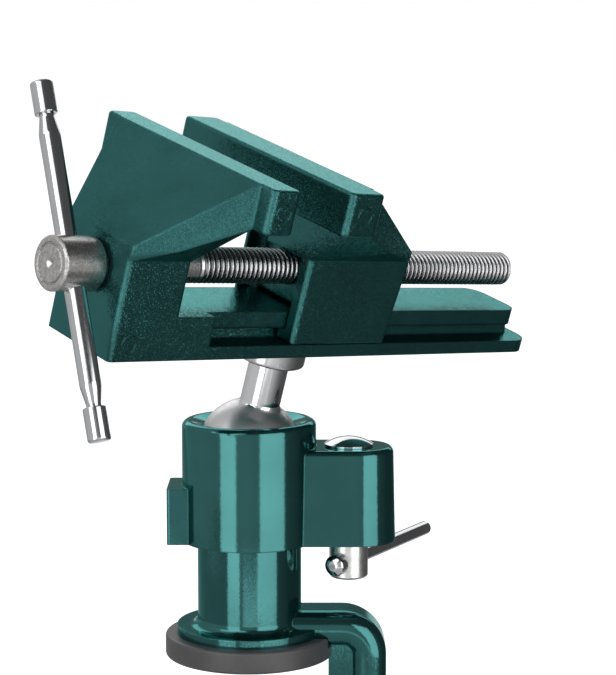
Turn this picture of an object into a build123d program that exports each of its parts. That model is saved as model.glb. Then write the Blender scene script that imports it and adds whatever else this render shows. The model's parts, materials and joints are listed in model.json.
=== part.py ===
from build123d import *
import math
import os

# Swivel bench vise: a C-clamp foot carries a column, a ball sits in the column's
# head under a collar, and the ball's stem carries a small screw vise.
# Millimetres. The origin is on the column's axis at the underside of the bench
# pad, +Z up, +X towards the ear of the collar and the spine of the clamp.
# The vise head is modelled in a frame of its own, with its origin at the ball's
# centre, +X along the lead screw away from the handle and +Z along the stem,
# and it is turned and leaned about the ball afterwards.

# Pose of the head at rest
BALL_Z = 57.0            # ball centre above the bench
LEAN_AZIMUTH = -32.2     # degrees, direction in which the stem leans
LEAN = 15.4              # degrees from upright
HEAD_TURN = 41.5         # degrees, turn of the head about its stem
MAX_LEAN = 34.0          # degrees, where the stem meets the collar's lip

# Fits
RUN_GAP = 0.05           # radial gap of a turning or sliding shaft
SEAT_GAP = 0.1           # gap between faces that move on each other
PRESS_GAP = 0.02         # radial gap of parts pressed or screwed together
OVERRUN = 1.0            # how far a cutting shape runs past what it cuts

# Screw thread shared by the lead screw and the clamp screw
THREAD_RADIUS = 4.76
THREAD_PITCH = 1.5875
THREAD_DEPTH = 0.85
THREAD_CREST_SHARE = 0.16
TAPPED_GAP = 0.06        # gap round a thread in its tapped hole

# Ball and stem
BALL_RADIUS = 14.0
STEM_RADIUS = 5.5
STEM_FOOT_RADIUS = 6.1
STEM_FOOT_RISE = 1.0
STEM_THREAD_RADIUS = 4.0
STEM_THREAD_LENGTH = 9.0
LOCK_RING_RADIUS = 9.3
LOCK_RING_HEIGHT = 5.7
LOCK_RING_EDGE = 0.7

# Rail of the head, heights measured from the ball's centre
HEAD_UNDERSIDE = 31.4
RAIL_FLANGE_HALF = 13.5
RAIL_FLANGE_HEIGHT = 3.5
RAIL_SLAB_HALF = 9.7
RAIL_SLAB_HEIGHT = 4.4
RAIL_WEB_HEIGHT = 3.6
RAIL_WEB_TOP_HALF = 5.8
RAIL_WEB_FOOT_HALF = 7.0
RAIL_CORNER = 6.5
RAIL_SLAB_SETBACK = 4.3    # the slab and its web end short of the flange
RAIL_SLAB_CORNER = 5.0
SCREW_HEIGHT = 52.3

# Fixed jaw casting, places along the screw measured from the ball's centre
RAIL_END_X = 87.0
BLOCK_FRONT_X = -65.4
BLOCK_LENGTH = 18.9
BLOCK_HALF = 13.5
BLOCK_SHOULDER = 5.2     # shoulder of the block above the screw's axis
BLOCK_BROW = 9.0         # top of the block's front face above the screw's axis
PLAIN_BLOCK_RUN = 12.2   # stretch of rail behind the block that is not grooved
JAW_HALF = 35.0
JAW_TOP = 30.5           # top of the jaws above the screw's axis
JAW_HEIGHT = 11.5
JAW_THICKNESS = 8.9
JAW_REACH = 11.5         # from the block's rear to the gripping face
NECK_HALF = 29.8         # half width of the neck where it meets the jaw
NECK_FLARE = 0.8         # how far the neck stands out of the block each side at its foot
NECK_FLARE_RISE = 1.6    # height over which the neck comes out of the block
NECK_CREASE_SHARE = 0.54 # of the block's length, from its end below the jaw to the crease
NECK_CREASE_RISE = 4.9   # height of the crease's outer end above the shoulder
JAW_OPENING = 16.8       # between the gripping faces at rest
MAX_OPENING = 60.0
CAST_EDGE = 0.8          # rounding of the castings' edges
BLOCK_EDGE = 1.2         # rounding of the blocks' upright edges
JAW_CORNER = 1.5         # rounding of the jaw bars' upright edges
SCREW_BORE_RADIUS = 4.0

# Sliding jaw casting
SLIDER_LENGTH = 33.0
SLIDER_HALF = 13.7
SLIDER_SHOULDER = 6.0
SLIDER_BROW = 9.0
SLIDER_REAR_LEAN = 2.6
SLIDER_JAW_THICKNESS = 11.3
SLIDER_CEILING_GAP = 0.9
SLIDER_LIP_TIP_HALF = 7.5
SLIDER_FOOT_GAP = 0.35
POCKET_DEPTH = 4.9       # recess in the front face, round the screw
POCKET_NEAR_HALF = 10.1  # from the screw's axis to the wall on the -Y side
POCKET_FAR_HALF = 12.0   # from the screw's axis to the wall on the +Y side
POCKET_TOP = 5.6         # above the screw's axis
POCKET_CORNER = 2.0
POCKET_RISE_START = 4.4  # the pocket is higher from here to its +Y wall
POCKET_RISE_TOP = 9.5    # above the screw's axis

# Lead screw and its hub
SCREW_END_X = 82.3
SCREW_CHAMFER = 1.6
HUB_RADIUS = 6.93
HUB_LENGTH = 12.4
HUB_EDGE = 0.5
HUB_FACE_WALL = 2.0      # metal between the hub's face and its blind bore
HUB_RING_RADIUS = 5.0
HUB_RING_WIDTH = 0.5
HUB_RING_DEPTH = 0.35
HUB_DIMPLE_RADIUS = 1.4
HUB_DIMPLE_DEPTH = 0.9
THRUST_WASHER_RADIUS = 6.5
THRUST_WASHER_HEIGHT = 0.6

# Sliding T-bars
BAR_RADIUS = 2.7
BAR_NECK_RADIUS = 1.88
BAR_NECK_LENGTH = 0.9
BAR_CONE_LENGTH = 4.4
BAR_CAP_RADIUS = 2.88
BAR_CAP_LENGTH = 8.4
BAR_CAP_EDGE = 0.45
BAR_CAP_WALL = 1.6
HANDLE_LENGTH = 91.0
HANDLE_TILT = 34.7       # degrees, lean of the handle from the head's upright
HANDLE_SHIFT = 1.05      # how far the handle stands out of the middle of its hub

# Collar over the ball
COLLAR_RADIUS = 18.3
COLLAR_TOP = 7.9
COLLAR_BOTTOM = -25.1
COLLAR_EDGE = 1.6
COLLAR_BORE_RADIUS = 14.4
COLLAR_LIP_RADIUS = 12.2
COLLAR_FUNNEL_RADIUS = 15.8
BALL_GAP = 0.06
EAR_END = 39.8
EAR_HALF = 11.0
EAR_TOP = 0.7
EAR_DRAFT = 1.3          # degrees
EAR_CORNER = 10.2
EAR_WALL = 2.6
EAR_ROOF = 5.0
TAB_END = 22.1
TAB_HALF = 8.5
TAB_TOP = -9.9
TAB_WALL = 1.8
TAB_SILL = 2.2

# Column, foot and clamp frame
COLUMN_RADIUS = 14.2
COLUMN_TOP = -16.0
COLUMN_BORE_RADIUS = 8.5
COLUMN_BORE_DEPTH = 14.0
COLUMN_FOOT_FILLET = 2.2
FLANGE_RADIUS = 19.85
FLANGE_RISE = 8.4
EAR_LUG_END = 34.6
EAR_LUG_HALF = 6.6
EAR_LUG_CORNER = 4.0
EAR_LUG_BOTTOM = -23.4
TAB_LUG_END = 19.7
TAB_LUG_HALF = 5.4
ARM_TOP = 12.7
ARM_OUTER_X = 37.4
ARM_BAR = 9.4            # thickness of the outer bar of the frame's T-section
ARM_BAR_HALF = 8.6
ARM_BAR_ROUND = 4.4
ARM_BEND = 12.0
ARM_RIB = 6.4
ARM_RIB_HALF = 5.6
THROAT_BOTTOM = -61.0
BOSS_RADIUS = 9.5
BOSS_RISE = 2.0
BOSS_EDGE = 0.8

# Rubber bench pad
PAD_RADIUS = 23.1
PAD_HEIGHT = 6.0
PAD_FLOOR = 3.0
PAD_GRIP_GAP = 0.05
PAD_EDGE = 0.8

# Ball seat
SEAT_RADIUS = 14.0
SEAT_TOP = -6.4
SEAT_HOLE_RADIUS = 8.5

# Lock bolt, nut and lever
LOCK_X = 27.1
BOLT_HEAD_RADIUS = 6.68
BOLT_HEAD_RIM = 0.6
BOLT_HEAD_RISE = 2.6
BOLT_RADIUS = 3.0
BOLT_SQUARE = 6.2
BOLT_SQUARE_DEPTH = 3.0
BOLT_END = -28.6
BOLT_HOLE_GAP = 0.3
LOCK_WASHER_RADIUS = 5.9
LOCK_WASHER_HEIGHT = 0.8
LOCK_NUT_RADIUS = 5.3
LOCK_NUT_BOTTOM = -35.6
LOCK_NUT_EDGE = 0.5
LEVER_Z = -31.2
LEVER_AZIMUTH = 60.0     # degrees
LEVER_RADIUS = 2.0
LEVER_REACH = 48.0
LEVER_HEAD_RADIUS = 2.9
LEVER_HEAD_LENGTH = 3.8
LEVER_EDGE = 0.5

# Clamp screw, pressure pad and clamp T-bar
BENCH_GAP = 25.0         # from the bench pad to the pressure pad at rest
CLAMP_SCREW_LENGTH = 73.0
CLAMP_TIP_RADIUS = 3.2
CLAMP_TIP_LENGTH = 5.0
CLAMP_NECK_RADIUS = 2.3
CLAMP_NECK_LENGTH = 1.6
CLAMP_HUB_RADIUS = 6.93
CLAMP_HUB_LENGTH = 12.4
CLAMP_BAR_LENGTH = 72.0
CLAMP_BAR_AZIMUTH = 25.0
PRESSURE_PAD_RADIUS = 11.0
PRESSURE_PAD_HEIGHT = 3.0
PRESSURE_CUP_RADIUS = 6.6
PRESSURE_PAD_EDGE = 0.6
FACING_HEIGHT = 2.0
FACING_EDGE = 0.5
SNAP_RING_HEIGHT = 0.9
SNAP_RING_RADIUS = 4.2
SNAP_RING_LIP = 0.4      # wall of the cup below the snap ring

# Places worked out from the sizes above
UNDER_SCREW = HEAD_UNDERSIDE - SCREW_HEIGHT
FLANGE_TOP = HEAD_UNDERSIDE + RAIL_FLANGE_HEIGHT
SLAB_BOTTOM = FLANGE_TOP + RAIL_WEB_HEIGHT
SLAB_TOP = SLAB_BOTTOM + RAIL_SLAB_HEIGHT
BLOCK_REAR_X = BLOCK_FRONT_X + BLOCK_LENGTH
FIXED_FACE_X = BLOCK_REAR_X + JAW_REACH
SLIDING_FACE_X = FIXED_FACE_X + JAW_OPENING
SLIDER_FRONT_X = SLIDING_FACE_X + JAW_REACH
SLIDER_REAR_X = SLIDER_FRONT_X + SLIDER_LENGTH
HUB_FACE_X = BLOCK_FRONT_X - SEAT_GAP - THRUST_WASHER_HEIGHT - HUB_LENGTH
HUB_CENTRE_X = HUB_FACE_X + HUB_LENGTH / 2
THREAD_START_X = BLOCK_REAR_X + SEAT_GAP
THREAD_ROOT_RADIUS = THREAD_RADIUS - THREAD_DEPTH
TAPPED_RADIUS = THREAD_RADIUS + TAPPED_GAP
BAR_HOLE_RADIUS = BAR_RADIUS + RUN_GAP
WASHER_TOP_Z = BALL_Z + EAR_LUG_BOTTOM - SEAT_GAP / 2
LOCK_NUT_TOP_Z = WASHER_TOP_Z - LOCK_WASHER_HEIGHT - SEAT_GAP
PRESSURE_TOP_Z = -BENCH_GAP
PRESSURE_PLATE_Z = PRESSURE_TOP_Z - FACING_HEIGHT
CLAMP_TOP_Z = PRESSURE_PLATE_Z - PRESSURE_PAD_HEIGHT - SEAT_GAP
CLAMP_HUB_TOP_Z = CLAMP_TOP_Z - CLAMP_SCREW_LENGTH
SNAP_RING_TOP_Z = CLAMP_TOP_Z - CLAMP_TIP_LENGTH - SEAT_GAP / 2
CUP_BOTTOM_Z = SNAP_RING_TOP_Z - SNAP_RING_HEIGHT - SNAP_RING_LIP
ARM_INNER_X = ARM_OUTER_X - ARM_BAR - ARM_RIB
ARM_BOTTOM_Z = THROAT_BOTTOM - BOSS_RISE - ARM_RIB - ARM_BAR
BEYOND = 4 * JAW_HALF    # longer than any piece of the head is wide

UP = (0, 0, 1)


def upright_cylinder(radius, low, high, x=0.0, y=0.0):
    """A cylinder about an upright axis, from one height to another."""
    blank = Cylinder(radius, high - low, align=(Align.CENTER, Align.CENTER, Align.MIN))
    return Pos(x, y, low) * blank


def level_cylinder(radius, start, end, z=0.0):
    """A cylinder about an axis along X at height z, from one x to another."""
    blank = Cylinder(radius, end - start, align=(Align.CENTER, Align.CENTER, Align.MIN))
    return Pos(start, 0, z) * Rot(0, 90, 0) * blank


def block(x0, x1, half, z0, z1):
    """A box from x0 to x1 and z0 to z1, as wide each side of the XZ plane."""
    return Pos((x0 + x1) / 2, 0, (z0 + z1) / 2) * Box(x1 - x0, 2 * half, z1 - z0)


def side_prism(outline, half):
    """An outline of (x, z) points drawn out to both sides along Y."""
    face = make_face(Polyline(*[(x, 0, z) for x, z in outline], close=True))
    return extrude(face, amount=half, dir=(0, 1, 0), both=True)


def end_prism(outline, x0, x1):
    """An outline of (y, z) points drawn out along X from x0 to x1."""
    face = make_face(Polyline(*[(x0, y, z) for y, z in outline], close=True))
    return extrude(face, amount=x1 - x0, dir=(1, 0, 0))


def plan_prism(outline, z0, z1):
    """An outline of (x, y) points drawn out along Z from z0 to z1."""
    face = make_face(Polyline(*[(x, y, z0) for x, y in outline], close=True))
    return extrude(face, amount=z1 - z0, dir=UP)


def turned(profile):
    """A solid turned about Z from a closed profile of (radius, z) points."""
    face = make_face(Polyline(*[(r, 0, z) for r, z in profile], close=True))
    return revolve(face, axis=Axis.Z)


def mirrored_y(points):
    """An outline's points on one side of a line of symmetry, then their mirror images."""
    return points + [(-a, b) for a, b in reversed(points)]


def tongue(end, half, low, high, corner, taper=0.0):
    """An upright tongue along +X, as long before the origin as after it, with a rounded end."""
    outline = make_face(Polyline((-end, -half, low), (end, -half, low), (end, half, low),
                                 (-end, half, low), close=True))
    rounded = fillet([v for v in outline.vertices() if v.X > 0], corner)
    return extrude(rounded, amount=high - low, dir=UP, taper=taper)


def half_tongue(end, half, low, high, corner, taper=0.0):
    """The part of a tongue that stands on the +X side of the origin."""
    return tongue(end, half, low, high, corner, taper) & block(0, 2 * end, 2 * half, low, high)


def as_one(shape):
    """The shape as one solid, where joining or cutting left a list of one."""
    solids = shape.solids()
    return solids[0] if len(solids) == 1 else Compound(children=list(solids))


def edges_along(shape, axis, keep):
    """Straight edges along an axis whose middle passes a test on its place."""
    return [e for e in shape.edges().filter_by(axis) if keep(e.center())]


def head_place(shape):
    """Move a piece from the head's own frame to where it stands at rest."""
    lean = Pos(0, 0, BALL_Z) * Rot(0, 0, LEAN_AZIMUTH) * Rot(0, LEAN, 0)
    return lean * Rot(0, 0, HEAD_TURN - LEAN_AZIMUTH) * shape


# Vise head

def thread_profile(start, end, chamfer):
    """Points (radius, height) of a ringed screw thread from its start to its chamfered end."""
    rings = int((end - chamfer - start) / THREAD_PITCH)
    crest = THREAD_PITCH * THREAD_CREST_SHARE
    points = [(THREAD_ROOT_RADIUS, start)]
    for ring in range(rings):
        middle = start + (ring + 0.5) * THREAD_PITCH
        points.append((THREAD_RADIUS, middle - crest))
        points.append((THREAD_RADIUS, middle + crest))
        points.append((THREAD_ROOT_RADIUS, middle + THREAD_PITCH / 2))
    points.append((THREAD_ROOT_RADIUS, end - chamfer / 2))
    points.append((THREAD_ROOT_RADIUS - chamfer / 2, end))
    return points


def rounded_at(shape, x):
    """Round a block's upright edges at a place along X."""
    return fillet(edges_along(shape, Axis.Z, lambda c: abs(c.X - x) < OVERRUN), BLOCK_EDGE)


def jaw_neck(front, rear, face, half, shoulder, brow, jaw_back):
    """The neck that rises from a block to its jaw, as the hull of its corners.

    front and rear are the block's ends, the rear one below the jaw. face is the
    gripping face and jaw_back the back of the jaw bar. The neck flares a little
    out of the block's sides and widens to the jaw; a crease on each flank runs up
    from the block's rear end. A plate as wide as the neck goes on through the bar.
    """
    ahead = 1 if face > front else -1
    low = SCREW_HEIGHT + shoulder
    top = SCREW_HEIGHT + JAW_TOP
    flared = half + NECK_FLARE
    widening = (NECK_HALF - flared) / abs(jaw_back - front)
    crease_run = (1 - NECK_CREASE_SHARE) * abs(rear - front)
    crease_half = flared + widening * crease_run
    cut = front + ahead * BLOCK_EDGE / 2
    corners = [(front, half - BLOCK_EDGE / 2, low), (cut, half, low), (rear, half, low),
               (front, flared - BLOCK_EDGE / 2, low + NECK_FLARE_RISE),
               (front, flared - BLOCK_EDGE / 2, SCREW_HEIGHT + brow),
               (cut, flared, low + NECK_FLARE_RISE), (cut, flared, SCREW_HEIGHT + brow),
               (front + ahead * crease_run, crease_half, low + NECK_CREASE_RISE),
               (jaw_back, NECK_HALF, top - JAW_HEIGHT), (jaw_back, NECK_HALF, top)]
    neck = ConvexPolyhedron([(x, side * y, z) for x, y, z in corners for side in (1, -1)])
    inner = face - ahead * CAST_EDGE
    return neck + block(min(jaw_back, inner), max(jaw_back, inner), NECK_HALF,
                        top - JAW_HEIGHT, top)


def jaw_bar(back, face):
    """The full-width bar of a jaw, with rounded edges."""
    top = SCREW_HEIGHT + JAW_TOP
    bar = block(min(back, face), max(back, face), JAW_HALF, top - JAW_HEIGHT, top)
    bar = fillet(bar.edges().filter_by(Axis.Z), JAW_CORNER)
    return fillet(bar.edges().filter_by(Plane.XY), CAST_EDGE)


def rail_outline(slab_half, web_top, web_foot):
    """Half of the rail's section as (y, z) points, from the underside up."""
    return [(RAIL_FLANGE_HALF, HEAD_UNDERSIDE), (RAIL_FLANGE_HALF, FLANGE_TOP),
            (web_foot, FLANGE_TOP), (web_top, SLAB_BOTTOM),
            (slab_half, SLAB_BOTTOM), (slab_half, SLAB_TOP)]


def make_fixed_jaw():
    """Casting of the rail, the block that holds the screw and the fixed jaw."""
    section = mirrored_y(rail_outline(RAIL_SLAB_HALF, RAIL_WEB_TOP_HALF, RAIL_WEB_FOOT_HALF))
    rail = end_prism(section, BLOCK_REAR_X, RAIL_END_X)
    flange_end = tongue(RAIL_END_X, RAIL_FLANGE_HALF, HEAD_UNDERSIDE, FLANGE_TOP, RAIL_CORNER)
    slab_end = tongue(RAIL_END_X - RAIL_SLAB_SETBACK, RAIL_SLAB_HALF, FLANGE_TOP, SLAB_TOP,
                      RAIL_SLAB_CORNER)
    rail = rail & (flange_end + slab_end)
    plain = block(BLOCK_REAR_X, BLOCK_REAR_X + PLAIN_BLOCK_RUN, BLOCK_HALF,
                  HEAD_UNDERSIDE, SLAB_TOP)
    shoulder = SCREW_HEIGHT + BLOCK_SHOULDER
    body = block(BLOCK_FRONT_X, BLOCK_REAR_X, BLOCK_HALF, HEAD_UNDERSIDE, shoulder)
    body = rounded_at(body, BLOCK_FRONT_X)
    jaw_back = FIXED_FACE_X - JAW_THICKNESS
    neck = jaw_neck(BLOCK_FRONT_X, BLOCK_REAR_X, FIXED_FACE_X, BLOCK_HALF,
                    BLOCK_SHOULDER, BLOCK_BROW, jaw_back)
    casting = body + plain + rail + neck + jaw_bar(jaw_back, FIXED_FACE_X)
    bore = level_cylinder(SCREW_BORE_RADIUS + RUN_GAP, BLOCK_FRONT_X - OVERRUN,
                          BLOCK_REAR_X + OVERRUN, SCREW_HEIGHT)
    stem_hole = upright_cylinder(STEM_THREAD_RADIUS + RUN_GAP, HEAD_UNDERSIDE - OVERRUN,
                                 HEAD_UNDERSIDE + STEM_THREAD_LENGTH + SEAT_GAP)
    return as_one(casting - bore - stem_hole)


def front_recess(near, far, top):
    """A recess in the sliding jaw's front face, open downwards, between two places in Y."""
    back = SLIDER_FRONT_X + POCKET_DEPTH
    recess = plan_prism([(SLIDER_FRONT_X - OVERRUN, near), (back, near), (back, far),
                         (SLIDER_FRONT_X - OVERRUN, far)], SLAB_BOTTOM, SCREW_HEIGHT + top)
    return fillet(edges_along(recess, Axis.Z, lambda c: c.X > SLIDER_FRONT_X), POCKET_CORNER)


def make_sliding_jaw():
    """Casting of the sliding jaw: it hooks under the rail's slab and is tapped for the screw."""
    foot = FLANGE_TOP + SLIDER_FOOT_GAP
    shoulder = SCREW_HEIGHT + SLIDER_SHOULDER
    rear_top = SLIDER_REAR_X + SLIDER_REAR_LEAN
    body = side_prism([(SLIDER_FRONT_X, foot), (SLIDER_FRONT_X, shoulder),
                       (rear_top, shoulder), (SLIDER_REAR_X, foot)], SLIDER_HALF)
    body = rounded_at(body, SLIDER_FRONT_X)
    jaw_back = SLIDING_FACE_X + SLIDER_JAW_THICKNESS
    neck = jaw_neck(rear_top, SLIDER_FRONT_X, SLIDING_FACE_X, SLIDER_HALF,
                    SLIDER_SHOULDER, SLIDER_BROW, jaw_back)
    lip_top = SLAB_BOTTOM - SEAT_GAP
    ceiling = SLAB_TOP + SLIDER_CEILING_GAP
    wall = RAIL_SLAB_HALF + SEAT_GAP
    channel = mirrored_y([(SLIDER_LIP_TIP_HALF, foot - OVERRUN), (SLIDER_LIP_TIP_HALF, lip_top),
                          (wall, lip_top), (wall, ceiling)])
    casting = body + neck + jaw_bar(jaw_back, SLIDING_FACE_X)
    casting = casting - end_prism(channel, SLIDER_FRONT_X - OVERRUN, rear_top + OVERRUN)
    pocket = front_recess(-POCKET_NEAR_HALF, POCKET_FAR_HALF, POCKET_TOP)
    pocket += front_recess(POCKET_RISE_START, POCKET_FAR_HALF, POCKET_RISE_TOP)
    tapped = level_cylinder(TAPPED_RADIUS, SLIDING_FACE_X - OVERRUN,
                            rear_top + OVERRUN, SCREW_HEIGHT)
    return as_one(casting - pocket - tapped)


def make_lead_screw():
    """Screw with a plain journal through the block and a spigot that fills the hub's bore."""
    start = HUB_FACE_X + HUB_FACE_WALL + PRESS_GAP
    profile = [(0, start), (SCREW_BORE_RADIUS, start), (SCREW_BORE_RADIUS, THREAD_START_X)]
    profile += thread_profile(THREAD_START_X, SCREW_END_X, SCREW_CHAMFER)
    profile.append((0, SCREW_END_X))
    screw = Pos(0, 0, SCREW_HEIGHT) * Rot(0, 90, 0) * turned(profile)
    return as_one(screw - handle_hole())


def handle_hole():
    """The cross hole of the hub, along the handle."""
    hole = Cylinder(BAR_HOLE_RADIUS, 4 * HUB_RADIUS)
    return Pos(HUB_CENTRE_X, 0, SCREW_HEIGHT) * Rot(-HANDLE_TILT, 0, 0) * hole


def make_screw_hub():
    """Turned cap on the screw's spigot: a ring and a dimple in its face and a cross hole."""
    ring_in = HUB_RING_RADIUS - HUB_RING_WIDTH / 2
    ring_out = HUB_RING_RADIUS + HUB_RING_WIDTH / 2
    bore = SCREW_BORE_RADIUS + PRESS_GAP
    back = HUB_FACE_X + HUB_LENGTH
    bore_end = HUB_FACE_X + HUB_FACE_WALL
    profile = [(0, bore_end), (0, HUB_FACE_X + HUB_DIMPLE_DEPTH), (HUB_DIMPLE_RADIUS, HUB_FACE_X),
               (ring_in, HUB_FACE_X), (ring_in, HUB_FACE_X + HUB_RING_DEPTH),
               (ring_out, HUB_FACE_X + HUB_RING_DEPTH), (ring_out, HUB_FACE_X),
               (HUB_RADIUS - HUB_EDGE, HUB_FACE_X), (HUB_RADIUS, HUB_FACE_X + HUB_EDGE),
               (HUB_RADIUS, back - HUB_EDGE), (HUB_RADIUS - HUB_EDGE, back), (bore, back),
               (bore, bore_end)]
    hub = Pos(0, 0, SCREW_HEIGHT) * Rot(0, 90, 0) * turned(profile)
    return as_one(hub - handle_hole())


def make_thrust_washer():
    """Steel washer between the hub and the block."""
    start = HUB_FACE_X + HUB_LENGTH
    disc = level_cylinder(THRUST_WASHER_RADIUS, start, start + THRUST_WASHER_HEIGHT, SCREW_HEIGHT)
    hole = level_cylinder(SCREW_BORE_RADIUS + PRESS_GAP, start - OVERRUN,
                          start + THRUST_WASHER_HEIGHT + OVERRUN, SCREW_HEIGHT)
    return as_one(disc - hole)


def t_bar(length):
    """A turned T-bar about Z, centred on the origin, without its end caps."""
    cap_in = length / 2 - BAR_CAP_LENGTH
    cone_end = cap_in - BAR_NECK_LENGTH
    tip = length / 2 - BAR_CAP_WALL
    upper = [(BAR_RADIUS, cone_end - BAR_CONE_LENGTH), (BAR_NECK_RADIUS, cone_end),
             (BAR_NECK_RADIUS, tip), (0, tip)]
    lower = [(r, -z) for r, z in reversed(upper)]
    return turned(lower + upper)


def t_bar_caps(length):
    """The two pressed end caps of a T-bar, as separate solids."""
    cap_in = length / 2 - BAR_CAP_LENGTH
    outer = length / 2
    bore = BAR_NECK_RADIUS + PRESS_GAP
    bore_end = outer - BAR_CAP_WALL + PRESS_GAP
    profile = [(bore, cap_in), (BAR_CAP_RADIUS - BAR_CAP_EDGE, cap_in),
               (BAR_CAP_RADIUS, cap_in + BAR_CAP_EDGE), (BAR_CAP_RADIUS, outer - BAR_CAP_EDGE),
               (BAR_CAP_RADIUS - BAR_CAP_EDGE, outer), (0, outer), (0, bore_end), (bore, bore_end)]
    cap = turned(profile)
    return [as_one(cap), as_one(Rot(180, 0, 0) * cap)]


def handle_place(shape):
    """Move a piece from the handle's axis to its place through the hub."""
    along = Rot(-HANDLE_TILT, 0, 0) * Pos(0, 0, HANDLE_SHIFT)
    return head_place(Pos(HUB_CENTRE_X, 0, SCREW_HEIGHT) * along * shape)


# Ball joint

def make_ball_stud():
    """Ball, stem and threaded end in one turned piece."""
    top = HEAD_UNDERSIDE - SEAT_GAP
    ball = Sphere(BALL_RADIUS)
    foot_z = math.sqrt(BALL_RADIUS ** 2 - STEM_FOOT_RADIUS ** 2)
    stem = turned([(0, 0), (STEM_FOOT_RADIUS, 0), (STEM_FOOT_RADIUS, foot_z),
                   (STEM_RADIUS, foot_z + STEM_FOOT_RISE), (STEM_RADIUS, top),
                   (STEM_THREAD_RADIUS, top),
                   (STEM_THREAD_RADIUS, HEAD_UNDERSIDE + STEM_THREAD_LENGTH),
                   (0, HEAD_UNDERSIDE + STEM_THREAD_LENGTH)])
    return as_one(ball + stem)


def make_stem_lock_ring():
    """Round nut on the stem, tight under the head."""
    top = HEAD_UNDERSIDE - SEAT_GAP
    low = top - LOCK_RING_HEIGHT
    bore = STEM_RADIUS + PRESS_GAP
    return as_one(turned([(bore, low), (LOCK_RING_RADIUS - LOCK_RING_EDGE, low),
                          (LOCK_RING_RADIUS, low + LOCK_RING_EDGE), (LOCK_RING_RADIUS, top),
                          (bore, top)]))


def make_ball_seat():
    """Ring under the ball, hollowed to the ball's own radius."""
    low = COLUMN_TOP + SEAT_GAP
    ring = upright_cylinder(SEAT_RADIUS, low, SEAT_TOP)
    ring -= upright_cylinder(SEAT_HOLE_RADIUS, low - OVERRUN, SEAT_TOP)
    ring -= Sphere(BALL_RADIUS + BALL_GAP)
    return as_one(Pos(0, 0, BALL_Z) * ring)


def make_ball_collar():
    """Cap over the ball, with an ear for the lock bolt and a tab hooked on the column."""
    body = upright_cylinder(COLLAR_RADIUS, COLLAR_BOTTOM, COLLAR_TOP)
    body = fillet(body.edges().group_by(Axis.Z)[-1], COLLAR_EDGE)
    ear = half_tongue(EAR_END, EAR_HALF, COLLAR_BOTTOM, EAR_TOP, EAR_CORNER, EAR_DRAFT)
    ear = fillet([e for e in ear.faces().sort_by(Axis.Z)[-1].edges() if e.center().X > OVERRUN],
                 COLLAR_EDGE)
    tab = block(-TAB_END, 0, TAB_HALF, COLLAR_BOTTOM, TAB_TOP)
    tab = fillet(edges_along(tab, Axis.Z, lambda c: c.X < -OVERRUN), COLLAR_EDGE / 2)
    casting = body + ear + tab
    bore = upright_cylinder(COLLAR_BORE_RADIUS, COLLAR_BOTTOM - OVERRUN, 0)
    hollow = Sphere(BALL_RADIUS + BALL_GAP)
    lip_z = math.sqrt((BALL_RADIUS + BALL_GAP) ** 2 - COLLAR_LIP_RADIUS ** 2)
    funnel = turned([(0, 0), (COLLAR_LIP_RADIUS, 0), (COLLAR_LIP_RADIUS, lip_z),
                     (COLLAR_FUNNEL_RADIUS, COLLAR_TOP), (COLLAR_FUNNEL_RADIUS, COLLAR_TOP + OVERRUN),
                     (0, COLLAR_TOP + OVERRUN)])
    ear_room = half_tongue(EAR_END - EAR_WALL, EAR_HALF - EAR_WALL,
                           COLLAR_BOTTOM - OVERRUN, EAR_TOP - EAR_ROOF, EAR_CORNER - EAR_WALL)
    tab_room = block(-(TAB_END - TAB_WALL), 0, TAB_HALF - TAB_WALL,
                     COLLAR_BOTTOM + TAB_SILL, TAB_TOP - TAB_WALL)
    bolt_hole = Pos(LOCK_X, 0, EAR_TOP) * Box(BOLT_SQUARE + BOLT_HOLE_GAP,
                                              BOLT_SQUARE + BOLT_HOLE_GAP, 4 * EAR_ROOF)
    casting = casting - bore - hollow - funnel - ear_room - tab_room - bolt_hole
    return as_one(Pos(0, 0, BALL_Z) * casting)


# Lock bolt, nut and lever

def make_lock_bolt():
    """Mushroom-headed bolt with a square neck, down through the ear and the column's lug."""
    head = turned([(0, EAR_TOP), (BOLT_HEAD_RADIUS, EAR_TOP),
                   (BOLT_HEAD_RADIUS, EAR_TOP + BOLT_HEAD_RIM), (0, EAR_TOP + BOLT_HEAD_RIM)])
    rise = BOLT_HEAD_RISE - BOLT_HEAD_RIM
    dome_radius = (BOLT_HEAD_RADIUS ** 2 + rise ** 2) / (2 * rise)
    top = EAR_TOP + BOLT_HEAD_RISE
    dome = Pos(0, 0, top - dome_radius) * Sphere(dome_radius)
    dome = dome & upright_cylinder(BOLT_HEAD_RADIUS, EAR_TOP + BOLT_HEAD_RIM, top + OVERRUN)
    neck = Pos(0, 0, EAR_TOP - BOLT_SQUARE_DEPTH / 2) * Box(BOLT_SQUARE, BOLT_SQUARE,
                                                            BOLT_SQUARE_DEPTH)
    shank = upright_cylinder(BOLT_RADIUS, BOLT_END, EAR_TOP)
    return as_one(Pos(LOCK_X, 0, BALL_Z) * (head + dome + neck + shank))


def make_lock_washer():
    """Washer under the column's lug."""
    ring = upright_cylinder(LOCK_WASHER_RADIUS, WASHER_TOP_Z - LOCK_WASHER_HEIGHT, WASHER_TOP_Z,
                            LOCK_X)
    return as_one(ring - upright_cylinder(BOLT_RADIUS + BOLT_HOLE_GAP, 0, BALL_Z, LOCK_X))


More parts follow.
